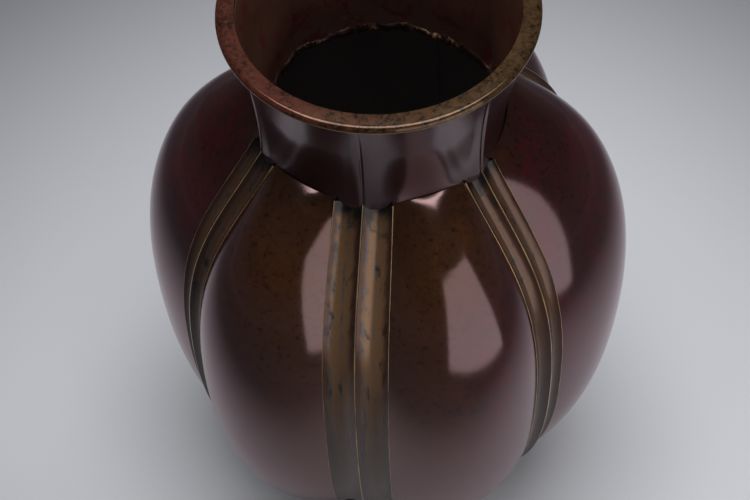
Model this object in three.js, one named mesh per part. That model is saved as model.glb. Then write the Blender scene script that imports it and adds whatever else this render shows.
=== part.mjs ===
// Six-lobed bronze vase with twin-fluted bands, waisted neck and flat-lipped mouth.
// Millimetres, +Z up, origin at the centre of the foot's underside.
import * as THREE from 'three';

// Mouth and neck
const mouthRadius = 72;
const lipWidth = 8.4;
const lipThickness = 4.6;
const neckHeight = 62.7;
const neckWall = 3.6;
const neckWaistRadius = 63;
const neckWaistShare = 0.4;
const neckFlatness = 0.35;
const neckFlatShare = 0.6;

// Body
const shoulderRadius = 63.4;
const shoulderHeight = 297.3;
const shoulderSlope = 54.3;
const shoulderReach = 48;
const shoulderDrop = 95;
const bellyRadius = 116.3;
const bellyHeight = 154;
const bellyDrop = 63;
const footReach = 30;
const footRise = 44;
const bodyWall = 4;

// Lobes
const lobeRise = 13.3;
const lobeFullShare = 0.2;
const lobeRiseEase = 0.7;
const lobeFallEase = 0.5;
const lobeTopFlatShare = 0.1;

// Fluted bands: a broad one at the front and back, two slim ones down each side
const frontLobeSpan = 53.5;
const broadBandHalfWidth = 16;
const broadBandTopHalfWidth = 13.4;
const slimBandHalfWidth = 9.7;
const bandSettleShare = 0.35;
const bandThickness = 6.5;
const fluteDepth = 3;
const ridgeProud = 0.8;

// Foot
const footRadius = 66;
const footHeight = 13;
const footFlare = 5;
const footFlareHeight = 4;
const footNeckFlare = 1.5;
const footNeckHeight = 6.5;
const footWall = 7;
const ledgeWidth = 5;
const ledgeThickness = 5;
const ledgeHeight = 2;
const basePlateThickness = 3;

// Braze bead under the neck
const beadHeight = 5;
const beadOverhang = 1.5;
const beadRound = 1;

// Gap left between neighbouring pieces
const seam = 0.3;

// Mesh fineness
const stationsAlong = 18;
const stationCrowding = 1.1;
const outlineSamples = 200;
const stepsAcrossLobe = 8;
const stepsAcrossFlute = 4;
const ringSegments = 48;
const neckSegments = 60;
const neckSteps = 7;
const lipSteps = 8;

const bronze = (color, roughness) =>
  new THREE.MeshStandardMaterial({ color, roughness, metalness: 0.85 });
const lobeBronze = bronze(0x2e1212, 0.3);
const bandBronze = bronze(0x4a3520, 0.4);
const neckBronze = bronze(0x2c1616, 0.3);
const lipBronze = bronze(0x5a2c16, 0.4);
const brazeBronze = bronze(0x6b4a26, 0.7);
const footBronze = bronze(0x33190f, 0.45);

// The bands in order round the vase, each with its turn from +X and half its width, lower down and at the neck
const front = -Math.PI / 2;
const frontSpan = THREE.MathUtils.degToRad(frontLobeSpan);
const broad = { half: broadBandHalfWidth, top: broadBandTopHalfWidth };
const slim = { half: slimBandHalfWidth, top: slimBandHalfWidth };
const bands = [
  { turn: front, ...broad },
  { turn: front + frontSpan, ...slim },
  { turn: -front - frontSpan, ...slim },
  { turn: -front, ...broad },
  { turn: -front + frontSpan, ...slim },
  { turn: front - frontSpan, ...slim },
];

// The spans between neighbouring bands, one for each lobe
const fullTurn = 2 * Math.PI;
const spans = bands.map((from, order) => {
  const to = bands[(order + 1) % bands.length];
  const width = (to.turn - from.turn + fullTurn) % fullTurn;
  return { from, to, width, flat: 1 - Math.cos(width / 2) };
});
const widestSpan = spans.reduce((wide, span) => (span.width > wide.width ? span : wide));

// The band line: a half outline from the neck, over the belly, to the foot
const slope = THREE.MathUtils.degToRad(shoulderSlope);
const footJoinHeight = footHeight + seam;
const shoulderPoint = new THREE.Vector2(shoulderRadius, shoulderHeight);
const bellyPoint = new THREE.Vector2(bellyRadius, bellyHeight);
const footPoint = new THREE.Vector2(footRadius, footJoinHeight);
const upperLine = new THREE.CubicBezierCurve(
  shoulderPoint,
  new THREE.Vector2(Math.cos(slope), -Math.sin(slope)).multiplyScalar(shoulderReach).add(shoulderPoint),
  new THREE.Vector2(bellyRadius, bellyHeight + shoulderDrop),
  bellyPoint,
);
const lowerLine = new THREE.CubicBezierCurve(
  bellyPoint,
  new THREE.Vector2(bellyRadius, bellyHeight - bellyDrop),
  new THREE.Vector2(footRadius + footReach, footJoinHeight + footRise),
  footPoint,
);

// Stations of the outline: place, outward direction and share of the way down it
function outlineStations() {
  const upper = upperLine.getSpacedPoints(outlineSamples);
  const lower = lowerLine.getSpacedPoints(outlineSamples);
  const points = upper.concat(lower.slice(1));
  const reach = [0];
  for (let i = 1; i < points.length; i++) reach.push(reach[i - 1] + points[i].distanceTo(points[i - 1]));
  const total = reach[reach.length - 1];
  const stations = [];
  for (let step = 0; step <= stationsAlong; step++) {
    const share = Math.pow(step / stationsAlong, stationCrowding);
    let i = reach.findIndex((length) => length >= total * share - 1e-9);
    i = Math.min(Math.max(i, 1), points.length - 1);
    const part = (total * share - reach[i - 1]) / (reach[i] - reach[i - 1]);
    const place = points[i - 1].clone().lerp(points[i], part);
    const along = points[i].clone().sub(points[i - 1]).normalize();
    stations.push({ place, out: new THREE.Vector2(-along.y, along.x), share });
  }
  return stations;
}
const stations = outlineStations();

// The ends of every panel are cut upright at the neck and level at the foot
const firstOut = stations[0].out;
firstOut.set(0, 1 / firstOut.y);
const lastOut = stations[stationsAlong].out;
lastOut.set(1 / lastOut.x, 0);

// How far the crest of a lobe stands out past the bands
function lobeSwell(share) {
  const rising = Math.sin((Math.PI / 2) * Math.min(1, share / lobeFullShare));
  const falling = Math.max(0, Math.cos((Math.PI / 2) * share));
  return lobeRise * Math.pow(rising, lobeRiseEase) * Math.pow(falling, lobeFallEase);
}

// Half the width of a band, easing from its width at the neck to its full width
function bandHalf(band, share) {
  const settle = Math.min(1, share / bandSettleShare);
  return band.top + (band.half - band.top) * settle * (2 - settle);
}

// A point of the outline pushed outward by some distance
const offsetPlace = (station, push) => station.place.clone().addScaledVector(station.out, push);

// A point of a lobe, on an arc from the edge of one band over the crest to the edge of the next
const upward = new THREE.Vector3(0, 0, 1);
function lobePoint(span, station, across, inset) {
  const edge = offsetPlace(station, -ridgeProud);
  const crest = offsetPlace(station, lobeSwell(station.share) - ridgeProud);
  const flatten = Math.max(0, 1 - station.share / lobeTopFlatShare);
  crest.x -= shoulderRadius * neckFlatness * span.flat * flatten;
  const fromGap = bandHalf(span.from, station.share) + seam;
  const toGap = bandHalf(span.to, station.share) + seam;
  const fromAngle = Math.asin(fromGap / edge.x);
  const toAngle = span.width - Math.asin(toGap / edge.x);
  const middle = (fromAngle + toAngle) / 2;
  const edgeAngle = (toAngle - fromAngle) / 2;
  const edgeX = edge.x * Math.cos(edgeAngle);
  const edgeY = edge.x * Math.sin(edgeAngle);
  const rise = Math.max(crest.x - edgeX, seam);
  const outerRadius = (edgeY * edgeY + rise * rise) / (2 * rise);
  const centre = edgeX + rise - outerRadius;
  const radius = outerRadius - inset * station.out.x;
  const reachTo = (gap, side) => side - Math.asin((gap - centre * Math.sin(side)) / radius);
  const start = -reachTo(fromGap, middle);
  const end = reachTo(toGap, span.width - middle);
  const sweep = start + ((end - start) * (across + 1)) / 2;
  const climb = (centre + outerRadius * Math.cos(sweep) - edgeX) / rise;
  const height = edge.y + (crest.y - edge.y) * climb - inset * station.out.y;
  const point = new THREE.Vector3(centre + radius * Math.cos(sweep), radius * Math.sin(sweep), height);
  return point.applyAxisAngle(upward, span.from.turn + middle);
}

// A point of a band in its own frame: two hollow flutes between three sharp arrises
function bandPoint(band, station, across, push, depth, proud) {
  const side = across * bandHalf(band, station.share);
  const within = 2 * Math.abs(across) - 1;
  const place = offsetPlace(station, push - depth * (1 - within * within) - proud * Math.abs(across));
  return new THREE.Vector3(Math.sqrt(place.x * place.x - side * side), side, place.y);
}

// A closed shell between an outer and an inner grid of points
function shellGeometry(rows, columns, outerPoint, innerPoint) {
  const positions = [];
  const index = [];
  const width = columns + 1;
  const innerStart = (rows + 1) * width;
  for (const pointAt of [outerPoint, innerPoint]) {
    for (let row = 0; row <= rows; row++) {
      for (let column = 0; column <= columns; column++) positions.push(...pointAt(row, column).toArray());
    }
  }
  const quad = (a, b, c, d) => index.push(a, b, c, a, c, d);
  const at = (row, column) => row * width + column;
  for (let row = 0; row < rows; row++) {
    for (let column = 0; column < columns; column++) {
      const corners = [at(row, column), at(row + 1, column), at(row + 1, column + 1), at(row, column + 1)];
      quad(...corners);
      quad(...corners.map((corner) => corner + innerStart).reverse());
    }
    const left = at(row, 0);
    const right = at(row, columns);
    quad(left, left + innerStart, left + width + innerStart, left + width);
    quad(right + width, right + width + innerStart, right + innerStart, right);
  }
  const foot = at(rows, 0);
  for (let column = 0; column < columns; column++) {
    quad(column + 1, column + 1 + innerStart, column + innerStart, column);
    const low = foot + column;
    quad(low, low + innerStart, low + 1 + innerStart, low + 1);
  }
  const geometry = new THREE.BufferGeometry();
  geometry.setAttribute('position', new THREE.Float32BufferAttribute(positions, 3));
  geometry.setIndex(index);
  return geometry;
}

function lobeGeometry(span) {
  const across = (column) => (2 * column) / stepsAcrossLobe - 1;
  return shellGeometry(
    stationsAlong,
    stepsAcrossLobe,
    (row, column) => lobePoint(span, stations[row], across(column), 0),
    (row, column) => lobePoint(span, stations[row], across(column), bodyWall),
  );
}

function bandGeometry(band) {
  const columns = 2 * stepsAcrossFlute;
  const across = (column) => (2 * column) / columns - 1;
  return shellGeometry(
    stationsAlong,
    columns,
    (row, column) => bandPoint(band, stations[row], across(column), 0, fluteDepth, ridgeProud),
    (row, column) => bandPoint(band, stations[row], across(column), -bandThickness, 0, 0),
  );
}

// A ring turned about +Z from a closed half section given as [radius, height] pairs
function ringGeometry(section) {
  const points = section.map(([radius, height]) => new THREE.Vector2(radius, height));
  points.push(points[0].clone());
  const ring = new THREE.LatheGeometry(points, ringSegments);
  return ring.rotateX(Math.PI / 2);
}

// How far a section of the neck stands in from its corners, which lie over the bands
function flatShrink(angle) {
  for (const span of spans) {
    const within = (angle - span.from.turn + 2 * fullTurn) % fullTurn;
    if (within < span.width) return 1 - Math.cos(span.width / 2) / Math.cos(within - span.width / 2);
  }
  return 0;
}

// The neck is a waisted tube, six-sided low down, whose lower end passes down between the panels
const neckTop = shoulderHeight + neckHeight - lipThickness;
const spigotRadius = shoulderRadius - seam;
const spigotFoot = shoulderHeight - bandThickness * firstOut.y;
const neckMouthRadius = mouthRadius - lipWidth + neckWall;
const neckLine = new THREE.CatmullRomCurve3([
  new THREE.Vector3(spigotRadius, shoulderHeight, 0),
  new THREE.Vector3(neckWaistRadius, shoulderHeight + neckWaistShare * (neckTop - shoulderHeight), 0),
  new THREE.Vector3(neckMouthRadius, neckTop, 0),
]);
function neckGeometry() {
  const outside = neckLine.getPoints(neckSteps).map((point) => [point.x, point.y]);
  const inside = outside.map(([radius, height]) => [radius - neckWall, height]).reverse();
  const section = [
    [spigotRadius, spigotFoot],
    ...outside,
    ...inside,
    [spigotRadius - neckWall, spigotFoot],
  ];
  const positions = [];
  const index = [];
  const flatTop = shoulderHeight + neckFlatShare * (neckTop - shoulderHeight);
  for (let column = 0; column < neckSegments; column++) {
    const angle = (2 * Math.PI * column) / neckSegments;
    for (const [radius, height] of section) {
      const fade = THREE.MathUtils.smoothstep(flatTop - height, 0, flatTop - shoulderHeight);
      const reach = radius * (1 - neckFlatness * fade * flatShrink(angle));
      positions.push(reach * Math.cos(angle), reach * Math.sin(angle), height);
    }
  }
  for (let column = 0; column < neckSegments; column++) {
    const here = column * section.length;
    const after = ((column + 1) % neckSegments) * section.length;
    for (let step = 0; step < section.length; step++) {
      const next = (step + 1) % section.length;
      index.push(here + step, after + step, after + next, here + step, after + next, here + next);
    }
  }
  const geometry = new THREE.BufferGeometry();
  geometry.setAttribute('position', new THREE.Float32BufferAttribute(positions, 3));
  geometry.setIndex(index);
  return geometry;
}

// The mouth ring is flat on top, with its outer edge rounded over
function mouthGeometry() {
  const round = lipThickness / 2;
  const top = shoulderHeight + neckHeight;
  const section = [[mouthRadius - lipWidth, neckTop + seam]];
  for (let step = 0; step <= lipSteps; step++) {
    const turn = -Math.PI / 2 + (Math.PI * step) / lipSteps;
    const height = top - round + Math.sin(turn) * round;
    section.push([mouthRadius - round + Math.cos(turn) * round, Math.max(height, neckTop + seam)]);
  }
  section.push([mouthRadius - lipWidth, top]);
  return ringGeometry(section);
}

// The braze bead closes the joint under the neck's lower end
function beadGeometry() {
  const top = spigotFoot - seam;
  const outer = spigotRadius * (1 - neckFlatness * widestSpan.flat);
  const inner = outer - neckWall - beadOverhang;
  return ringGeometry([
    [inner, top - beadHeight / 2],
    [inner + beadOverhang, top - beadHeight],
    [outer - beadOverhang, top - beadHeight],
    [outer, top - beadHeight / 2],
    [outer, top],
    [inner + beadRound, top],
  ]);
}

// The foot ring carries the panels on its flat top and the base plate on a ledge
const footInner = footRadius - footWall;
const ledgeTop = ledgeHeight + ledgeThickness;
function footGeometry() {
  return ringGeometry([
    [footInner, 0],
    [footRadius + footFlare, 0],
    [footRadius + footFlare, footFlareHeight],
    [footRadius + footNeckFlare, footNeckHeight],
    [footRadius, footHeight],
    [footInner, footHeight],
    [footInner, ledgeTop],
    [footInner - ledgeWidth, ledgeTop],
    [footInner - ledgeWidth, ledgeHeight],
    [footInner, ledgeHeight],
  ]);
}

function baseGeometry() {
  const low = ledgeTop + seam;
  const radius = footInner - seam;
  const plate = new THREE.CylinderGeometry(radius, radius, basePlateThickness, ringSegments);
  plate.rotateX(Math.PI / 2);
  return plate.translate(0, 0, low + basePlateThickness / 2);
}

const vase = new THREE.Group();
function place(name, geometry, material, turn = 0) {
  const mesh = new THREE.Mesh(geometry, material);
  mesh.name = name;
  mesh.rotation.z = turn;
  vase.add(mesh);
}

spans.forEach((span, order) => {
  place(`lobe_${order + 1}`, lobeGeometry(span), lobeBronze);
  place(`fluted_band_${order + 1}`, bandGeometry(span.from), bandBronze, span.from.turn);
});
place('neck_collar', neckGeometry(), neckBronze);
place('mouth_ring', mouthGeometry(), lipBronze);
place('neck_joint_bead', beadGeometry(), brazeBronze);
place('foot_ring', footGeometry(), footBronze);
place('base_plate', baseGeometry(), footBronze);

export default vase;
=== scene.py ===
"""Finish and staging for a six-lobed bronze vase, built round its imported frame."""
import math

import bpy
import numpy as np
from bpy.props import FloatProperty, FloatVectorProperty, IntProperty, PointerProperty
from mathutils import Matrix, Vector


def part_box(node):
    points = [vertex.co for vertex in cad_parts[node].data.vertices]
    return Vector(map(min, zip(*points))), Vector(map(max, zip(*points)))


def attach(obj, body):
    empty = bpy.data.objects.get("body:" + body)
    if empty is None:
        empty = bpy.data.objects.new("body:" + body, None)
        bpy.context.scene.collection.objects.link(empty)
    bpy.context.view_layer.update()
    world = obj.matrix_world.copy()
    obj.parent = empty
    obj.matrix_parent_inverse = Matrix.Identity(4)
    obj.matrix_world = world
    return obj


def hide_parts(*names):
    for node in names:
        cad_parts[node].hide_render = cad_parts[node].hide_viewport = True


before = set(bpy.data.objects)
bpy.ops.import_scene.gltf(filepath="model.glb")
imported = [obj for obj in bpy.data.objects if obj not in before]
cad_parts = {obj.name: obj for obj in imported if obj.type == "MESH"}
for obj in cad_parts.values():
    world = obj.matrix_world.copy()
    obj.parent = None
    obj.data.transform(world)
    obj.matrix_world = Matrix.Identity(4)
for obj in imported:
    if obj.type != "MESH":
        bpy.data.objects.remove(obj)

bl_info = {
    "name": "Lobed Bronze Vase",
    "version": (1, 0, 0),
    "blender": (4, 5, 0),
    "location": "View3D > Sidebar > Vase",
    "description": "Builds the finished surfaces of a lobed bronze vase and its studio stage",
    "category": "Add Mesh",
}

MM = 0.001
SEAM = 0.3 * MM
VISUAL_SEAM = 0.02 * MM
FULL_TURN = 2 * math.pi
FRONT = -math.pi / 2
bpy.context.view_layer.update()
PHOTO_WIDTH = 750
SENSOR_WIDTH = 36
CURVE_STEPS = 600

# Lamps, each with its place, the point it faces, and its width and height
PANEL_PLACE, PANEL_AIM, PANEL_SIZE = (0.275, -0.33, 0.31), (-0.05, -0.075, 0.31), (0.42, 0.48)
SOFTBOX_PLACE, SOFTBOX_AIM, SOFTBOX_SIZE = (0.0, 0.2, 2.3), (0, 0.1, 0.0), (1.8, 1.4)

# Heights and radii that the frame already fixes
MOUTH_LOW, MOUTH_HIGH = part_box("mouth_ring")
NECK_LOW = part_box("neck_collar")[0]
FOOT_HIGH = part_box("foot_ring")[1]
BEAD_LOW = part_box("neck_joint_bead")[0]


def length(name, about, default):
    return FloatProperty(name=name, description=about, default=default, subtype="DISTANCE", unit="LENGTH")


def angle(name, about, degrees):
    return FloatProperty(name=name, description=about, default=math.radians(degrees), subtype="ANGLE")


def share(name, about, default):
    return FloatProperty(name=name, description=about, default=default, subtype="FACTOR")


def colour(name, about, default):
    return FloatVectorProperty(name=name, description=about, default=default, subtype="COLOR", size=3, min=0, max=1)


class VaseShape(bpy.types.PropertyGroup):
    """Sizes of the vase's surfaces."""

    shoulder_radius: length("Shoulder radius", "Radius where the neck meets the body", 63.4 * MM)
    shoulder_height: length("Shoulder height", "Height where the neck meets the body", 297.3 * MM)
    shoulder_slope: angle("Shoulder slope", "How steeply the shoulder leaves the neck", 54.3)
    shoulder_reach: length("Shoulder reach", "How far the shoulder runs straight", 48 * MM)
    shoulder_drop: length("Shoulder drop", "How far above the belly the side turns upright", 95 * MM)
    belly_radius: length("Belly radius", "Radius of the bands at the belly", 116.3 * MM)
    belly_height: length("Belly height", "Height of the widest place", 154 * MM)
    belly_drop: length("Belly drop", "How far below the belly the side stays upright", 70 * MM)
    foot_radius: length("Foot radius", "Radius where the body meets the foot", 66 * MM)
    foot_reach: length("Foot reach", "How far out the body runs from the foot", 35 * MM)
    foot_rise: length("Foot rise", "How far up the body runs from the foot", 44 * MM)
    lobe_rise: length("Lobe rise", "How far a lobe stands out past the bands", 13.3 * MM)
    lobe_full: share("Lobe full", "Share of the way down where a lobe is full", 0.2)
    lobe_rise_ease: share("Lobe rise ease", "How roundly a lobe rises", 0.7)
    lobe_fall_ease: share("Lobe fall ease", "How roundly a lobe falls away", 0.5)
    lobe_top_share: share("Lobe top share", "Share of the way down that is flattened", 0.1)
    front_span: angle("Front lobe span", "Turn from the front band to the next", 53.5)
    broad_half: length("Broad band half width", "Half the width of the front and back bands", 16 * MM)
    broad_top: length("Broad band half width, top", "Half their width at the neck", 13.4 * MM)
    slim_half: length("Slim band half width", "Half the width of the side bands", 9.7 * MM)
    band_settle: share("Band settle", "Share of the way down where it is full", 0.35)
    band_thickness: length("Band thickness", "Thickness of a band", 6.5 * MM)
    flute_depth: length("Flute depth", "Depth of each hollow flute", 3 * MM)
    ridge_proud: length("Ridge proud", "How far the middle arris stands past the outer ones", 0.8 * MM)
    body_wall: length("Body wall", "Thickness of a lobe's wall", 4 * MM)
    lip_width: length("Lip width", "Width of the flat lip", 8.4 * MM)
    neck_wall: length("Neck wall", "Thickness of the neck's wall", 3.6 * MM)
    neck_waist: length("Neck waist", "Outer radius of the neck at its waist", 63 * MM)
    neck_waist_share: share("Waist share", "Share of the way up where the waist is", 0.4)
    neck_flatness: share("Neck flatness", "How six-sided the neck is low down", 0.35)
    neck_flat_share: share("Flat share", "Share of the way up where the sides end", 0.6)
    bead_overhang: length("Bead overhang", "How far the braze stands into the neck", 1.5 * MM)
    arris_land: length("Arris land", "Half the width of the flat on a middle arris", 0.45 * MM)
    crease_rise: length("Crease rise", "How far the neck swells over a band's middle arris", 0.45 * MM)
    crease_depth: length("Crease depth", "Depth of the fine crease in that swelling", 0.7 * MM)
    crease_half: length("Crease half width", "Half the width of that swelling", 7 * MM)
    crease_share: share("Crease share", "Half the crease's width as a share of that", 0.18)
    crease_start: share("Crease start", "Share of the way up where the swelling starts to fade", 0.35)
    station_crowding: FloatProperty(
        name="Station crowding", description="How closely rows stand at the neck", default=1.25)
    stations: IntProperty(name="Stations", description="Rows of faces down the body", default=120, min=20)
    across_lobe: IntProperty(name="Across lobe", description="Columns of faces on a lobe", default=48, min=8)
    across_flute: IntProperty(name="Across flute", description="Columns of faces on a flute", default=14, min=4)


class VaseFinish(bpy.types.PropertyGroup):
    """Patina colours."""

    lobe: colour("Lobe", "Dark red-brown patina of the lobes", (0.033, 0.0108, 0.0102))
    lobe_red: colour("Lobe red", "Crimson bloom in the lobes", (0.055, 0.0075, 0.009))
    lobe_brown: colour("Lobe brown", "Warm brown of the lobes beside the broad bands", (0.055, 0.021, 0.008))
    lobe_amber: colour("Lobe amber", "Amber bloom near the neck", (0.085, 0.032, 0.006))
    band: colour("Band", "Bronze-brown of the bands", (0.175, 0.095, 0.048))
    band_side: colour("Band side", "Red-brown of the flutes' sides and of the side bands", (0.062, 0.028, 0.020))
    band_grey: colour("Band grey", "Blue-grey streaks along the flutes", (0.075, 0.080, 0.085))
    # Near-black: stain in dark streaks along the flutes, darkening towards the bottom of the bands, and painted shade
    # where the flutes end under the neck
    band_stain_and_painted_shade: colour("Band dark", "Near-black stain at the flutes' ends", (0.009, 0.008, 0.010))
    brass: colour("Brass", "Metal worn bright on the edges", (0.48, 0.33, 0.14))
    lip_red: colour("Lip red", "Red-brown of the lip", (0.075, 0.022, 0.014))
    lip_olive: colour("Lip olive", "Olive-brown of the lip", (0.055, 0.030, 0.013))
    neck: colour("Neck", "Purple-brown of the neck", (0.024, 0.009, 0.010))
    bore: colour("Bore", "Red-brown inside the neck", (0.15, 0.066, 0.044))
    cast: colour("Cast", "Raw cast metal inside the body", (0.24, 0.24, 0.235))
    braze: colour("Braze", "Rough braze metal", (0.62, 0.38, 0.17))


class VaseStage(bpy.types.PropertyGroup):
    """Floor, lamps and camera."""

    floor: colour("Floor", "Colour of the floor", (0.60, 0.61, 0.65))
    # The far floor colour and the pool radii paint a pool of light round the vase, with painted shade outside it that
    # comes sooner in front and fades back to the pale floor far off
    floor_painted_shade: colour("Far floor", "Colour of the floor outside the pale pool", (0.115, 0.117, 0.134))
    floor_radius: length("Floor radius", "Radius of the round floor", 3.0)
    painted_light_pool_inner: length("Pool inner radius", "Radius where the pale pool starts to darken", 0.18)
    painted_light_pool_outer: length("Pool outer radius", "Radius where it has darkened", 0.615)
    painted_light_pool_front: FloatProperty(name="Pool front", description="How much sooner it darkens in front", default=1.8)
    painted_shade_fade_inner: length("Fade inner radius", "Radius where the floor starts to turn pale again", 0.9)
    painted_shade_fade_outer: length("Fade outer radius", "Radius where it would be pale", 3.2)
    panel: FloatProperty(name="Panel", description="Power of the panel at the front right", default=0.95, unit="POWER")
    overhead: FloatProperty(name="Overhead", description="Power of the overhead softbox", default=48, unit="POWER")
    surround: FloatProperty(name="Surround", description="Brightness of the dim room round the table", default=0.035)
    backdrop: FloatProperty(name="Backdrop", description="Brightness of the room at the horizon", default=0.085)
    elevation: angle("Elevation", "Camera's height angle", 54.51)
    azimuth: angle("Azimuth", "Camera's turn from the front band", 9.99)
    roll: FloatProperty(name="Roll", description="Camera's roll", default=-0.0474, subtype="ANGLE")
    distance: length("Distance", "Camera's distance from its target", 809.2 * MM)
    aside: length("Aside", "How far the target lies to the camera's right", -6.5 * MM)
    below: length("Below", "How far the target lies below the mouth", 185.6 * MM)
    focal: FloatProperty(name="Focal", description="Focal length in photo pixels", default=1500)


def shape():
    return bpy.context.scene.vase_shape


def finish():
    return bpy.context.scene.vase_finish


def stage():
    return bpy.context.scene.vase_stage


def band_plan(sizes):
    """Turn and half widths, lower down and at the neck, of each band, in order round the vase."""
    span = sizes.front_span
    turns = (0, span, math.pi - span, math.pi, math.pi + span, FULL_TURN - span)
    broad, slim = (sizes.broad_half, sizes.broad_top), (sizes.slim_half, sizes.slim_half)
    halves = (broad, slim, slim) * 2
    return [(FRONT + turn, half) for turn, half in zip(turns, halves)]


def spans(sizes):
    """For each lobe: turn and half widths of the band before it, its span, half widths of the band after."""
    plan = band_plan(sizes)
    return [(turn, half, (after[0] - turn) % FULL_TURN, after[1])
            for (turn, half), after in zip(plan, plan[1:] + plan[:1])]


def flattening(span):
    """How far the middle of a straight side stands in from its corners, as a share of their radius."""
    return 1 - math.cos(span / 2)


def bezier(points, steps):
    """Points of a cubic curve with four control points, as an array of (radius, height)."""
    t = np.linspace(0, 1, steps + 1)[:, None]
    a, b, c, d = [np.array(p, float) for p in points]
    return a * (1 - t) ** 3 + 3 * b * t * (1 - t) ** 2 + 3 * c * t * t * (1 - t) + d * t ** 3


class Outline:
    """The band line from neck to foot at even stations, with its outward direction."""

    def __init__(self, sizes, stations):
        foot_top = FOOT_HIGH.z + SEAM
        belly = (sizes.belly_radius, sizes.belly_height)
        slope, reach = sizes.shoulder_slope, sizes.shoulder_reach
        upper = bezier([
            (sizes.shoulder_radius, sizes.shoulder_height),
            (sizes.shoulder_radius + reach * math.cos(slope), sizes.shoulder_height - reach * math.sin(slope)),
            (sizes.belly_radius, sizes.belly_height + sizes.shoulder_drop),
            belly], CURVE_STEPS)
        lower = bezier([
            belly,
            (sizes.belly_radius, sizes.belly_height - sizes.belly_drop),
            (sizes.foot_radius + sizes.foot_reach, foot_top + sizes.foot_rise),
            (sizes.foot_radius, foot_top)], CURVE_STEPS)
        line = np.vstack([upper, lower[1:]])
        run = np.concatenate([[0], np.cumsum(np.linalg.norm(np.diff(line, axis=0), axis=1))])
        self.share = np.linspace(0, 1, stations + 1) ** sizes.station_crowding
        self.radius = np.interp(self.share * run[-1], run, line[:, 0])
        self.height = np.interp(self.share * run[-1], run, line[:, 1])
        along = np.gradient(line, run, axis=0)
        out_r = np.interp(self.share * run[-1], run, -along[:, 1])
        out_h = np.interp(self.share * run[-1], run, along[:, 0])
        size = np.hypot(out_r, out_h)
        self.out_r, self.out_h = out_r / size, out_h / size
        self.out_r[0], self.out_h[0] = 0, 1 / self.out_h[0]
        self.out_r[-1], self.out_h[-1] = 1 / self.out_r[-1], 0

    def pushed(self, push):
        """Radius and height of a line beside the outline, further out by the push."""
        return self.radius + push * self.out_r, self.height + push * self.out_h

    def swell(self, sizes):
        """How far a lobe's crest stands out at each station."""
        rising = np.sin(np.pi / 2 * np.minimum(1, self.share / sizes.lobe_full))
        falling = np.cos(np.pi / 2 * self.share).clip(0)
        return sizes.lobe_rise * rising ** sizes.lobe_rise_ease * falling ** sizes.lobe_fall_ease

    def band_half(self, sizes, halves):
        """Half a band's width at each station."""
        full, top = halves
        settle = np.minimum(1, self.share / sizes.band_settle)
        return top + (full - top) * settle * (2 - settle)


def side_shrink(sizes, turn):
    """How far a straight side stands in from the round at each turn, as a share of the radius."""
    turn = (turn - FRONT) % FULL_TURN
    corners = np.array([band[0] - FRONT for band in band_plan(sizes)] + [FULL_TURN])
    side = np.searchsorted(corners[1:-1], turn, side="right")
    half_span = (corners[side + 1] - corners[side]) / 2
    return 1 - np.cos(half_span) / np.cos(turn - corners[side] - half_span)


def neck_reach(sizes, grid):
    """Radius of the neck's foot behind each point of a grid."""
    turn = np.arctan2(grid[..., 1], grid[..., 0])
    return sizes.shoulder_radius * (1 - sizes.neck_flatness * side_shrink(sizes, turn))


def drawn_to_neck(sizes, outline, grid):
    """Move a lobe's top rows in or out, so that the first one lies on the neck."""
    reach = np.hypot(grid[..., 0], grid[..., 1])
    pull = (1 - outline.share / sizes.lobe_top_share).clip(0) ** 2
    gap = (neck_reach(sizes, grid) - 0.1 * MM - reach)[0]
    drawn = grid.copy()
    drawn[..., :2] *= (1 + pull[:, None] * gap / reach)[..., None]
    return drawn


def kept_off_neck(sizes, grid):
    """Keep an inner sheet outside the neck."""
    reach = np.hypot(grid[..., 0], grid[..., 1])
    kept = grid.copy()
    kept[..., :2] *= np.maximum(1, neck_reach(sizes, grid) / reach)[..., None]
    return kept


def lobe_grid(sizes, outline, span, columns, inset):
    """Grid of points on a lobe, on arcs from the edge of one band over the crest to the next."""
    turn, from_half, width, to_half = span
    edge_r, edge_h = outline.pushed(-sizes.ridge_proud)
    crest_r, crest_h = outline.pushed(outline.swell(sizes) - sizes.ridge_proud)
    flat = sizes.shoulder_radius * sizes.neck_flatness * flattening(width)
    crest_r = crest_r - flat * (1 - outline.share / sizes.lobe_top_share).clip(0)
    from_gap = outline.band_half(sizes, from_half) + VISUAL_SEAM
    to_gap = outline.band_half(sizes, to_half) + VISUAL_SEAM
    from_angle = np.arcsin(from_gap / edge_r)
    to_angle = width - np.arcsin(to_gap / edge_r)
    middle, edge_angle = (from_angle + to_angle) / 2, (to_angle - from_angle) / 2
    edge_x, edge_y = edge_r * np.cos(edge_angle), edge_r * np.sin(edge_angle)
    rise = crest_r - edge_x
    outer = (edge_y ** 2 + rise ** 2) / (2 * rise)
    centre = crest_r - outer
    radius = outer - inset * outline.out_r
    start = np.arcsin((from_gap - centre * np.sin(middle)) / radius) - middle
    end = width - middle - np.arcsin((to_gap - centre * np.sin(width - middle)) / radius)
    sweep = start[:, None] + (end - start)[:, None] * np.linspace(0, 1, columns + 1)
    climb = ((centre - edge_x)[:, None] + outer[:, None] * np.cos(sweep)) / rise[:, None]
    height = edge_h[:, None] + (crest_h - edge_h)[:, None] * climb - (inset * outline.out_h)[:, None]
    x, y = centre[:, None] + radius[:, None] * np.cos(sweep), radius[:, None] * np.sin(sweep)
    aim = (turn + middle)[:, None]
    return np.stack([np.cos(aim) * x - np.sin(aim) * y, np.sin(aim) * x + np.cos(aim) * y, height], -1)


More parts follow.
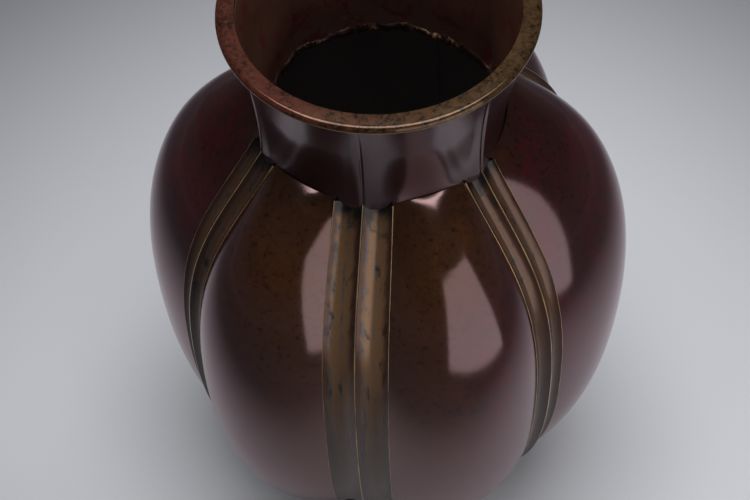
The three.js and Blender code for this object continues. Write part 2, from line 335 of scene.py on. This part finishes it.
def band_columns(sizes, outline, half):
    """For each point across a band: its place from -1 to 1, its place in its flute, its distance from an arris."""
    full = outline.band_half(sizes, half)[:, None]
    land = sizes.arris_land / full
    # Columns crowd towards the arrises
    flute = -np.cos(np.linspace(0, math.pi, sizes.across_flute + 1))
    flute = np.concatenate([[-1], flute * 0.5 + np.linspace(-1, 1, sizes.across_flute + 1) * 0.5, [1]])
    right = land + (1 - 1.5 * land) * (flute + 1) / 2
    right[:, 0] = 0
    right[:, -1] = 1
    across = np.concatenate([-right[:, :0:-1], right], 1)
    place = np.tile(np.concatenate([-flute[:0:-1], flute])[None], (len(full), 1))
    beside = np.minimum(np.abs(across), 1 - np.abs(across)) * full
    return across, place, beside


def band_grid(sizes, outline, half, push, depth, proud):
    """Grid of points on a band in its own frame, two hollow flutes between three arrises."""
    across, place, _ = band_columns(sizes, outline, half)
    side = across * outline.band_half(sizes, half)[:, None]
    inward = push - depth * (1 - place ** 2) - proud * np.abs(across)
    r = outline.radius[:, None] + inward * outline.out_r[:, None]
    h = outline.height[:, None] + inward * outline.out_h[:, None]
    return np.stack([np.sqrt(r * r - side * side), side, h], -1)


def shell_faces(rows, columns):
    """Quads of a closed shell between an outer and an inner grid."""
    width = columns + 1
    start = (rows + 1) * width
    faces = []
    for row in range(rows):
        for column in range(columns):
            a = row * width + column
            quad = (a, a + width, a + width + 1, a + 1)
            faces.append(quad)
            faces.append(tuple(corner + start for corner in reversed(quad)))
        left, right = row * width, row * width + columns
        faces.append((left, left + start, left + width + start, left + width))
        faces.append((right + width, right + width + start, right + start, right))
    for column in range(columns):
        low = rows * width + column
        faces.append((column + 1, column + 1 + start, column + start, column))
        faces.append((low, low + start, low + 1 + start, low + 1))
    return faces


def turned(points, angle):
    """Points turned about +Z."""
    c, s = math.cos(angle), math.sin(angle)
    x, y = points[:, 0], points[:, 1]
    return np.stack([c * x - s * y, s * x + c * y, points[:, 2]], -1)


def make_piece(name, points, faces, material, slot, node, sharp=math.radians(40)):
    """One mesh object that stands for a node of the frame."""
    mesh = bpy.data.meshes.new(name)
    mesh.from_pydata([tuple(p) for p in points], [], faces)
    mesh.polygons.foreach_set("use_smooth", [True] * len(mesh.polygons))
    mesh.set_sharp_from_angle(angle=sharp)
    mesh.materials.append(material)
    mesh.validate()
    piece = bpy.data.objects.new(name, mesh)
    bpy.context.scene.collection.objects.link(piece)
    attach(piece, "root")
    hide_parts(node)
    return piece


def round_turns(count, crowded=(), reach=0.0, extra=0):
    """Turns for a ring's columns: an even round, with more on both sides of some turns."""
    turns = list(np.linspace(0, FULL_TURN, count, endpoint=False))
    for middle in crowded:
        turns.extend((middle + np.linspace(-reach, reach, extra)) % FULL_TURN)
    return np.unique(np.round(turns, 5))


def carry(piece, name, values):
    """Give a piece's points a value each, for its material."""
    carried = piece.data.attributes.new(name, "FLOAT", "POINT")
    carried.data.foreach_set("value", np.ascontiguousarray(values, np.float32).ravel())


def two_sheets(grid):
    """Nought on a shell's outer sheet and one on its inner sheet."""
    return np.repeat([0, 1], grid.shape[0] * grid.shape[1])


def ring_mesh(sections, turns):
    """Points and quads of a closed section, given as (radius, height) for each turn, turned about +Z."""
    sections = np.broadcast_to(np.array(sections, float), (len(turns), *np.shape(sections)[-2:]))
    count = sections.shape[1]
    radius, height = sections[..., 0], sections[..., 1]
    points = np.stack([radius * np.cos(turns)[:, None], radius * np.sin(turns)[:, None], height], -1)
    faces = []
    for segment in range(len(turns)):
        here, after = segment * count, (segment + 1) % len(turns) * count
        for step in range(count):
            up = (step + 1) % count
            faces.append((here + step, after + step, after + up, here + up))
    return points.reshape(-1, 3), faces


def faded(heights, low, high):
    """One at the low height, easing to nothing at the high one."""
    share = ((high - heights) / (high - low)).clip(0, 1)
    return share * share * (3 - 2 * share)


def six_sided(points, sizes, low, high):
    """Flatten the neck between its corners, which lie over the bands, fading out upward."""
    turn = np.arctan2(points[:, 1], points[:, 0])
    shaped = points.copy()
    shaped[:, :2] *= (1 - sizes.neck_flatness * faded(points[:, 2], low, high) * side_shrink(sizes, turn))[:, None]
    return shaped


def creased(points, sizes, low, high):
    """Swell the neck a little over each band's middle arris, with a fine crease in the swelling."""
    turn = np.arctan2(points[:, 1], points[:, 0])
    reach = np.hypot(points[:, 0], points[:, 1])
    lift = np.zeros(len(points))
    for band_turn, _ in band_plan(sizes):
        aside = np.abs((turn - band_turn + math.pi) % FULL_TURN - math.pi) * reach / sizes.crease_half
        lift += sizes.crease_rise * np.cos(np.pi / 2 * aside.clip(0, 1)) ** 2
        lift -= sizes.crease_depth * (1 - aside / sizes.crease_share).clip(0)
    outside = reach > sizes.neck_waist - sizes.neck_wall / 2
    shaped = points.copy()
    shaped[:, :2] *= (1 + lift * outside * faded(points[:, 2], low, high) / reach)[:, None]
    return shaped


def unevenness(turns, seed, waves=(7, 13, 19, 31, 47, 71, 103)):
    """A smooth uneven line round the vase, about -1 to 1."""
    phases = np.random.default_rng(seed).uniform(0, FULL_TURN, len(waves))
    return sum(np.sin(wave * turns + phase) / wave ** 0.4 for wave, phase in zip(waves, phases)) * 0.9


class Nodes:
    """A material with short ways to wire its nodes."""

    def __init__(self, name):
        self.material = bpy.data.materials.new(name)
        self.material.use_nodes = True
        self.tree = self.material.node_tree
        self.shader = self.tree.nodes["Principled BSDF"]
        self.place = self.add("ShaderNodeTexCoord").outputs["Object"]

    def add(self, kind, **values):
        node = self.tree.nodes.new(kind)
        for key, value in values.items():
            setattr(node, key, value)
        return node

    def wire(self, source, target):
        self.tree.links.new(source, target)

    def noise(self, scale, detail=4.0, roughness=0.55, distortion=0.0, stretch=None):
        node = self.add("ShaderNodeTexNoise")
        node.inputs["Scale"].default_value = scale
        node.inputs["Detail"].default_value = detail
        node.inputs["Roughness"].default_value = roughness
        node.inputs["Distortion"].default_value = distortion
        place = self.place
        if stretch:
            mapping = self.add("ShaderNodeMapping")
            mapping.inputs["Scale"].default_value = stretch
            self.wire(self.place, mapping.inputs["Vector"])
            place = mapping.outputs["Vector"]
        self.wire(place, node.inputs["Vector"])
        return node.outputs["Fac"]

    def ramp(self, source, low, high):
        node = self.add("ShaderNodeMapRange")
        node.interpolation_type = "SMOOTHSTEP"
        node.inputs["From Min"].default_value = low
        node.inputs["From Max"].default_value = high
        self.wire(source, node.inputs["Value"])
        return node.outputs["Result"]

    def blend(self, share, first, second):
        node = self.add("ShaderNodeMix", data_type="RGBA")
        self.wire(share, node.inputs["Factor"])
        for value, socket in ((first, node.inputs["A"]), (second, node.inputs["B"])):
            if isinstance(value, bpy.types.NodeSocket):
                self.wire(value, socket)
            else:
                socket.default_value = (*value, 1)
        return node.outputs["Result"]

    def math(self, kind, first, second=0):
        node = self.add("ShaderNodeMath", operation=kind)
        for value, socket in ((first, node.inputs[0]), (second, node.inputs[1])):
            if isinstance(value, bpy.types.NodeSocket):
                self.wire(value, socket)
            else:
                socket.default_value = value
        return node.outputs["Value"]

    def reach(self, x, y):
        """Distance from the vase's axis."""
        return self.math("SQRT", self.math("ADD", self.math("MULTIPLY", x, x), self.math("MULTIPLY", y, y)))

    def split(self):
        node = self.add("ShaderNodeSeparateXYZ")
        self.wire(self.place, node.inputs["Vector"])
        return node.outputs["X"], node.outputs["Y"], node.outputs["Z"]

    def bump(self, height, strength, distance):
        node = self.add("ShaderNodeBump")
        node.inputs["Strength"].default_value = strength
        node.inputs["Distance"].default_value = distance
        self.wire(height, node.inputs["Height"])
        self.wire(node.outputs["Normal"], self.shader.inputs["Normal"])

    def surface(self, colour_socket, low, high, source, metallic, index=1.5, tint=(1, 1, 1)):
        self.wire(colour_socket, self.shader.inputs["Base Color"])
        node = self.add("ShaderNodeMapRange", clamp=False)
        node.inputs["To Min"].default_value = low
        node.inputs["To Max"].default_value = high
        self.wire(source, node.inputs["Value"])
        self.wire(node.outputs["Result"], self.shader.inputs["Roughness"])
        self.shader.inputs["Metallic"].default_value = metallic
        self.shader.inputs["IOR"].default_value = index
        self.shader.inputs["Specular Tint"].default_value = (*tint, 1)
        return self.material

    def painted(self, name):
        """Values that the mesh carries at its points."""
        return self.add("ShaderNodeAttribute", attribute_name=name).outputs["Fac"]


def lobe_finish():
    """Dark red-brown patina with crimson bloom, brown beside the broad bands and amber near the neck."""
    n, c = Nodes("lobe_patina"), finish()
    x, y, z = n.split()
    cloud = n.noise(11, 4, 0.6, 0.5)
    bloom = n.noise(75, 6, 0.75, 0.7)
    fine = n.noise(330, 5, 0.75)
    reds = n.blend(n.ramp(n.math("ADD", bloom, n.math("MULTIPLY", cloud, 0.7)), 0.8, 1.02), c.lobe, c.lobe_red)
    beside = n.math("ADD", n.math("ABSOLUTE", x), n.math("MULTIPLY", cloud, 0.06))
    browned = n.blend(n.ramp(beside, 0.055, 0.115), c.lobe_brown, reds)
    height = n.math("ADD", z, n.math("MULTIPLY", cloud, 0.05))
    ambers = n.blend(n.ramp(bloom, 0.46, 0.72), c.lobe_brown, c.lobe_amber)
    central = n.math("SUBTRACT", 1.0, n.ramp(beside, 0.06, 0.1))
    topped = n.blend(n.math("MULTIPLY", n.ramp(height, 0.265, 0.315), central), browned, ambers)
    speck = n.blend(n.ramp(fine, 0.5, 0.72), topped, tuple(0.35 * v for v in c.lobe))
    walled = n.blend(n.painted("inside"), speck, c.cast)
    n.bump(fine, 0.05, 0.0004)
    dull = n.math("ADD", bloom, n.math("MULTIPLY", n.painted("inside"), 5))
    return n.surface(walled, 0.08, 0.2, dull, 0.35, 2.0, (1, 0.72, 0.78))


def band_finish():
    """Worn bronze-brown flutes with dark sides, blue-grey streaks and fine bright arrises, with painted shade where the
    flutes end under the neck.
    """
    n, c = Nodes("band_patina"), finish()
    x, y, z = n.split()
    streak = n.noise(70, 6, 0.65, 0.3, (3.0, 3.0, 0.22))
    cloud = n.noise(26, 5, 0.65, 0.6)
    fine = n.noise(260, 5, 0.7)
    place = n.painted("flute_place")
    beside = n.painted("arris_gap")
    wide = n.math("ADD", n.math("ABSOLUTE", place), n.math("MULTIPLY", streak, 0.7))
    sided = n.blend(n.ramp(wide, 0.8, 1.2), c.band, c.band_side)
    aside = n.math("ADD", n.math("ABSOLUTE", x), n.math("MULTIPLY", cloud, 0.03))
    tinted = n.blend(n.math("MULTIPLY", n.ramp(aside, 0.03, 0.07), 0.7), sided, c.band_side)
    middle = n.math("ABSOLUTE", n.math("ADD", place, n.math("MULTIPLY", cloud, 0.5)))
    seamed = n.math("SUBTRACT", 1.0, n.ramp(n.math("ABSOLUTE", n.math("SUBTRACT", middle, 0.32)), 0.0, 0.16))
    greyed = n.blend(n.math("MULTIPLY", seamed, n.ramp(streak, 0.4, 0.62)), tinted, c.band_grey)
    streaked = n.blend(n.math("MULTIPLY", n.ramp(streak, 0.56, 0.68), 0.75), greyed, c.band_stain_and_painted_shade)
    low = n.math("ADD", z, n.math("MULTIPLY", cloud, 0.05))
    # Darker towards the bottom of the bands
    lowered = n.blend(n.math("MULTIPLY", n.math("SUBTRACT", 1.0, n.ramp(low, 0.17, 0.26)), 0.8), streaked, c.band_stain_and_painted_shade)
    # Painted shade: near-black where the flutes end under the neck, standing in for the shade in that hollow
    painted_neck_shade = n.blend(n.ramp(n.math("ADD", z, n.math("MULTIPLY", streak, 0.012)), 0.292, 0.3), lowered, c.band_stain_and_painted_shade)
    worn = n.math("ADD", beside, n.math("MULTIPLY", n.noise(45, 4), 0.0006))
    edge = n.blend(n.ramp(worn, 0.00062, 0.0003), painted_neck_shade, c.brass)
    walled = n.blend(n.painted("inside"), edge, c.cast)
    n.bump(fine, 0.12, 0.0004)
    dull = n.math("ADD", streak, n.math("MULTIPLY", n.painted("inside"), 3))
    return n.surface(walled, 0.16, 0.34, dull, 0.35, 1.5, (1, 0.85, 0.8))


def neck_finish():
    """Dark purple-brown polished patina with faint crimson spots."""
    n, c = Nodes("neck_patina"), finish()
    cloud = n.noise(24, 5, 0.6, 0.5)
    fine = n.noise(300, 5, 0.7)
    base = n.blend(n.ramp(cloud, 0.52, 0.72), c.neck, tuple(0.4 * v for v in c.lobe_red))
    bored = n.blend(n.ramp(n.noise(70, 6, 0.7, 0.8), 0.5, 0.66), c.bore, tuple(2.6 * v for v in c.lobe_red))
    walled = n.blend(n.painted("inside"), base, bored)
    n.bump(fine, 0.05, 0.0004)
    return n.surface(walled, 0.1, 0.2, cloud, 0.3, 2.25, (1, 0.84, 0.88))


def lip_finish():
    """Mottled red to olive lip with a fine brass line low on its edge."""
    n, c = Nodes("lip_patina"), finish()
    x, y, z = n.split()
    cloud = n.noise(40, 5, 0.65, 0.6)
    spots = n.noise(120, 6, 0.75, 0.6)
    grain = n.noise(420, 5, 0.8, 0.4)
    side = n.math("ADD", x, n.math("MULTIPLY", cloud, 0.07))
    base = n.blend(n.ramp(side, -0.01, 0.075), c.lip_red, c.lip_olive)
    bright = n.blend(n.ramp(side, -0.01, 0.075), tuple(1.5 * v for v in c.lip_red), tuple(1.7 * v for v in c.lip_olive))
    mottled = n.blend(n.ramp(n.math("ADD", spots, grain), 0.94, 1.12), base, bright)
    spotted = n.blend(n.ramp(n.math("ADD", spots, grain), 0.98, 0.82), mottled, tuple(0.3 * v for v in c.lip_olive))
    low = n.math("ADD", z, n.math("MULTIPLY", spots, 0.0012))
    edge = n.blend(n.ramp(low, MOUTH_LOW.z + 2.6 * MM, MOUTH_LOW.z + 1.8 * MM), spotted, c.brass)
    n.bump(spots, 0.12, 0.0004)
    flat = n.ramp(n.reach(x, y), MOUTH_HIGH.x - 1.6 * MM, MOUTH_HIGH.x - 3 * MM)
    dull = n.math("MULTIPLY", flat, n.math("ADD", cloud, 0.4))
    return n.surface(edge, 0.12, 0.26, dull, 0.4, 1.5, (1, 0.85, 0.8))


def braze_finish():
    """Rough scratched braze metal."""
    n, c = Nodes("braze_metal"), finish()
    rough = n.noise(150, 7, 0.75, 1.2)
    patch = n.noise(30, 4, 0.6, 0.8)
    shine = n.math("MULTIPLY", n.ramp(rough, 0.5, 0.66), n.ramp(patch, 0.4, 0.6))
    base = n.blend(shine, tuple(1.4 * v for v in c.neck), c.braze)
    n.bump(rough, 0.9, 0.0012)
    return n.surface(base, 0.4, 0.65, rough, 0.5)


def foot_finish():
    """Dark brown satin patina."""
    n, c = Nodes("foot_patina"), finish()
    cloud = n.noise(30, 5, 0.6, 0.5)
    base = n.blend(n.ramp(cloud, 0.45, 0.75), c.lobe, c.band_side)
    n.bump(n.noise(200, 5, 0.7), 0.1, 0.0005)
    return n.surface(base, 0.25, 0.45, cloud, 0.4, 1.7)


class VASE_OT_lobes(bpy.types.Operator):
    """Build the six lobes"""

    bl_idname = "vase.lobes"
    bl_label = "Lobes"

    def execute(self, context):
        sizes, material = shape(), lobe_finish()
        outline = Outline(sizes, sizes.stations)
        faces = shell_faces(sizes.stations, sizes.across_lobe)
        for order, span in enumerate(spans(sizes), 1):
            outer = drawn_to_neck(sizes, outline, lobe_grid(sizes, outline, span, sizes.across_lobe, 0))
            inner = kept_off_neck(sizes, lobe_grid(sizes, outline, span, sizes.across_lobe, sizes.body_wall))
            points = np.concatenate([outer.reshape(-1, 3), inner.reshape(-1, 3)])
            piece = make_piece(f"lobe_shell_{order}", points, faces, material, "lobe_bronze", f"lobe_{order}")
            carry(piece, "inside", two_sheets(outer))
        return {"FINISHED"}


class VASE_OT_bands(bpy.types.Operator):
    """Build the six fluted bands"""

    bl_idname = "vase.bands"
    bl_label = "Fluted bands"

    def execute(self, context):
        sizes, material = shape(), band_finish()
        outline = Outline(sizes, sizes.stations)
        for order, (turn, half) in enumerate(band_plan(sizes), 1):
            outer = band_grid(sizes, outline, half, 0, sizes.flute_depth, sizes.ridge_proud)
            inner = band_grid(sizes, outline, half, -sizes.band_thickness, 0, 0)
            inner = turned(inner.reshape(-1, 3), turn)
            placed = np.concatenate([turned(outer.reshape(-1, 3), turn), kept_off_neck(sizes, inner)])
            faces = shell_faces(sizes.stations, outer.shape[1] - 1)
            piece = make_piece(
                f"band_strip_{order}", placed, faces, material, "band_bronze", f"fluted_band_{order}", math.radians(30))
            _, place, beside = band_columns(sizes, outline, half)
            carry(piece, "flute_place", np.tile(place.ravel(), 2))
            carry(piece, "arris_gap", np.tile(beside.ravel(), 2))
            carry(piece, "inside", two_sheets(outer))
        return {"FINISHED"}


class VASE_OT_neck(bpy.types.Operator):
    """Build the waisted neck and its braze bead"""

    bl_idname = "vase.neck"
    bl_label = "Neck"

    def execute(self, context):
        sizes = shape()
        base, top, foot = sizes.shoulder_height, MOUTH_LOW.z, NECK_LOW.z
        spigot = sizes.shoulder_radius - VISUAL_SEAM
        flare = MOUTH_HIGH.x - sizes.lip_width + sizes.neck_wall
        middle = base + (top - base) * sizes.neck_waist_share
        fit = np.polyfit([base, middle, top], [spigot, sizes.neck_waist, flare], 2)
        line = np.linspace(base, top, 48)
        outer = [(np.polyval(fit, h), h) for h in line]
        inner = [(r - sizes.neck_wall, h) for r, h in reversed(outer)]
        section = [(spigot, foot), *outer, *inner, (spigot - sizes.neck_wall, foot)]
        turns = round_turns(240, [turn for turn, _ in band_plan(sizes)], 0.13, 45)
        points, faces = ring_mesh(section, turns)
        points = six_sided(points, sizes, base, base + (top - base) * sizes.neck_flat_share)
        points = creased(points, sizes, base + (top - base) * sizes.crease_start, top)
        piece = make_piece("neck_tube", points, faces, neck_finish(), "neck_bronze", "neck_collar", math.radians(60))
        carry(piece, "inside", np.tile([0] * (1 + len(outer)) + [1] * (1 + len(inner)), len(turns)))
        self.bead(sizes, spigot - sizes.neck_wall, foot)
        return {"FINISHED"}

    def bead(self, sizes, bore, foot):
        """Uneven braze that laps up the inside of the neck."""
        turns = round_turns(720)
        wall = bore * (1 - sizes.neck_flatness * side_shrink(sizes, turns))
        lap = (0.55 + 0.5 * unevenness(turns, 3)).clip(-0.1, 1.6) * 3.5 * MM
        stand = (0.6 + 0.5 * unevenness(turns, 5)).clip(0.1, 1.3) * sizes.bead_overhang
        hang = (0.7 + 0.3 * unevenness(turns, 8)).clip(0.2, 1.2) * (foot - BEAD_LOW.z)
        section = [
            (wall + 0.5 * MM, foot + lap),
            (wall - 0.3 * stand, foot + 0.8 * lap),
            (wall - 0.8 * stand, foot + 0.3 * lap),
            (wall - stand, foot - 0.2 * hang),
            (wall - 0.7 * stand, foot - 0.6 * hang),
            (wall, foot - 0.95 * hang),
            (wall + 1.5 * MM, foot - hang),
            (wall + 3 * MM, foot - 0.7 * hang),
            (wall + 3 * MM, np.full_like(wall, foot + 0.2 * MM))]
        sections = np.stack([np.stack(corner, -1) for corner in section], 1)
        points, faces = ring_mesh(sections, turns)
        make_piece("braze_bead", points, faces, braze_finish(), "braze_bronze", "neck_joint_bead", math.radians(80))


class VASE_OT_mouth(bpy.types.Operator):
    """Build the flat-lipped mouth ring"""

    bl_idname = "vase.mouth"
    bl_label = "Mouth"

    def execute(self, context):
        sizes = shape()
        low, high, rim = MOUTH_LOW.z, MOUTH_HIGH.z, MOUTH_HIGH.x
        round_ = (high - low) / 2
        turn = np.linspace(-math.pi / 2, math.pi / 2, 17)
        edge = [(rim - round_ + math.cos(t) * round_, low + round_ + math.sin(t) * round_) for t in turn]
        section = [(rim - sizes.lip_width, low), *edge, (rim - sizes.lip_width, high)]
        make_piece("lip_ring", *ring_mesh(section, round_turns(360)), lip_finish(), "lip_bronze", "mouth_ring")
        return {"FINISHED"}


class VASE_OT_foot(bpy.types.Operator):
    """Give the foot ring and base plate their finish"""

    bl_idname = "vase.foot"
    bl_label = "Foot"

    def execute(self, context):
        material = foot_finish()
        for name in ("foot_ring", "base_plate"):
            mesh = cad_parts[name].data
            mesh.materials.clear()
            mesh.materials.append(material)
        return {"FINISHED"}


class VASE_OT_stage(bpy.types.Operator):
    """Set out the floor, lamps and camera"""

    bl_idname = "vase.stage"
    bl_label = "Stage"

    def execute(self, context):
        settings = stage()
        self.floor(settings)
        self.lamps(settings)
        self.camera(context, settings)
        return {"FINISHED"}

    def floor(self, settings):
        mesh = bpy.data.meshes.new("floor")
        radius = settings.floor_radius
        points = [(radius * math.cos(turn), radius * math.sin(turn), 0) for turn in round_turns(96)]
        mesh.from_pydata(points, [], [range(len(points))])
        n = Nodes("floor_paper_painted_light_pool")
        x, y, z = n.split()
        paper = n.noise(3, 2)
        near = n.blend(paper, settings.floor, tuple(0.97 * v for v in settings.floor))
        # Painted light: the floor stays pale in a pool round the vase, squeezed in front, and is painted dark outside
        # it as painted shade, turning pale again far off
        front = n.math("MINIMUM", y, n.math("MULTIPLY", y, settings.painted_light_pool_front))
        away = n.ramp(n.reach(x, front), settings.painted_light_pool_inner, settings.painted_light_pool_outer)
        pool = n.blend(away, near, settings.floor_painted_shade)
        fade = n.ramp(n.reach(x, y), settings.painted_shade_fade_inner, settings.painted_shade_fade_outer)
        base = n.blend(fade, pool, settings.floor)
        mesh.materials.append(n.surface(base, 0.7, 0.8, paper, 0.0))
        floor = bpy.data.objects.new("floor", mesh)
        bpy.context.scene.collection.objects.link(floor)

    def lamps(self, settings):
        boxes = (
            ("panel_front_right", PANEL_PLACE, PANEL_AIM, PANEL_SIZE, settings.panel),
            ("softbox_above", SOFTBOX_PLACE, SOFTBOX_AIM, SOFTBOX_SIZE, settings.overhead),
        )
        for name, place, aim, size, power in boxes:
            lamp = bpy.data.lights.new(name, "AREA")
            lamp.shape = "RECTANGLE"
            lamp.size, lamp.size_y = size
            lamp.energy = power
            box = bpy.data.objects.new(name, lamp)
            box.location = place
            box.rotation_euler = (Vector(aim) - Vector(place)).to_track_quat("-Z", "Y").to_euler()
            bpy.context.scene.collection.objects.link(box)
        world = bpy.data.worlds.new("studio")
        world.use_nodes = True
        tree = world.node_tree
        ground = tree.nodes["Background"]
        ground.inputs["Color"].default_value = (0.95, 0.96, 1, 1)
        sky = tree.nodes.new("ShaderNodeTexCoord")
        split = tree.nodes.new("ShaderNodeSeparateXYZ")
        tree.links.new(sky.outputs["Generated"], split.inputs["Vector"])
        level = tree.nodes.new("ShaderNodeMapRange")
        level.interpolation_type = "SMOOTHSTEP"
        level.inputs["From Max"].default_value = 0.35
        level.inputs["To Min"].default_value = settings.backdrop
        level.inputs["To Max"].default_value = settings.surround
        tree.links.new(split.outputs["Z"], level.inputs["Value"])
        tree.links.new(level.outputs["Result"], ground.inputs["Strength"])
        bpy.context.scene.world = world

    def camera(self, context, settings):
        turn = FRONT + settings.azimuth
        lift = settings.elevation
        back = Vector((math.cos(turn) * math.cos(lift), math.sin(turn) * math.cos(lift), math.sin(lift)))
        level = Vector((-math.sin(turn), math.cos(turn), 0))
        upright = back.cross(level)
        side = math.cos(settings.roll) * level + math.sin(settings.roll) * upright
        top = math.cos(settings.roll) * upright - math.sin(settings.roll) * level
        target = level * settings.aside + Vector((0, 0, MOUTH_HIGH.z - settings.below))
        place = target + back * settings.distance
        data = bpy.data.cameras.new("camera")
        data.sensor_width = SENSOR_WIDTH
        data.lens = settings.focal * data.sensor_width / PHOTO_WIDTH
        camera = bpy.data.objects.new("camera", data)
        basis = Matrix((side, top, back)).transposed().to_4x4()
        camera.matrix_world = Matrix.Translation(place) @ basis
        context.scene.collection.objects.link(camera)
        context.scene.camera = camera
        context.scene.view_settings.view_transform = "Standard"


class VASE_PT_panel(bpy.types.Panel):
    """Lists the vase's builders and sizes"""

    bl_label = "Bronze Vase"
    bl_idname = "VASE_PT_panel"
    bl_space_type = "VIEW_3D"
    bl_region_type = "UI"
    bl_category = "Vase"

    def draw(self, context):
        layout = self.layout
        for group in (shape(), finish(), stage()):
            box = layout.box()
            for name in group.bl_rna.properties.keys():
                if name not in ("rna_type", "name"):
                    box.prop(group, name)
        for operator in OPERATORS:
            layout.operator(operator.bl_idname)


GROUPS = (VaseShape, VaseFinish, VaseStage)
OPERATORS = (VASE_OT_lobes, VASE_OT_bands, VASE_OT_neck, VASE_OT_mouth, VASE_OT_foot, VASE_OT_stage)
CLASSES = GROUPS + OPERATORS + (VASE_PT_panel,)


def register():
    for cls in CLASSES:
        bpy.utils.register_class(cls)
    bpy.types.Scene.vase_shape = PointerProperty(type=VaseShape)
    bpy.types.Scene.vase_finish = PointerProperty(type=VaseFinish)
    bpy.types.Scene.vase_stage = PointerProperty(type=VaseStage)


def unregister():
    del bpy.types.Scene.vase_stage
    del bpy.types.Scene.vase_finish
    del bpy.types.Scene.vase_shape
    for cls in reversed(CLASSES):
        bpy.utils.unregister_class(cls)


def main():
    register()
    bpy.ops.vase.stage()
    bpy.ops.vase.lobes()
    bpy.ops.vase.bands()
    bpy.ops.vase.neck()
    bpy.ops.vase.mouth()
    bpy.ops.vase.foot()


if __name__ == "__main__":
    main()
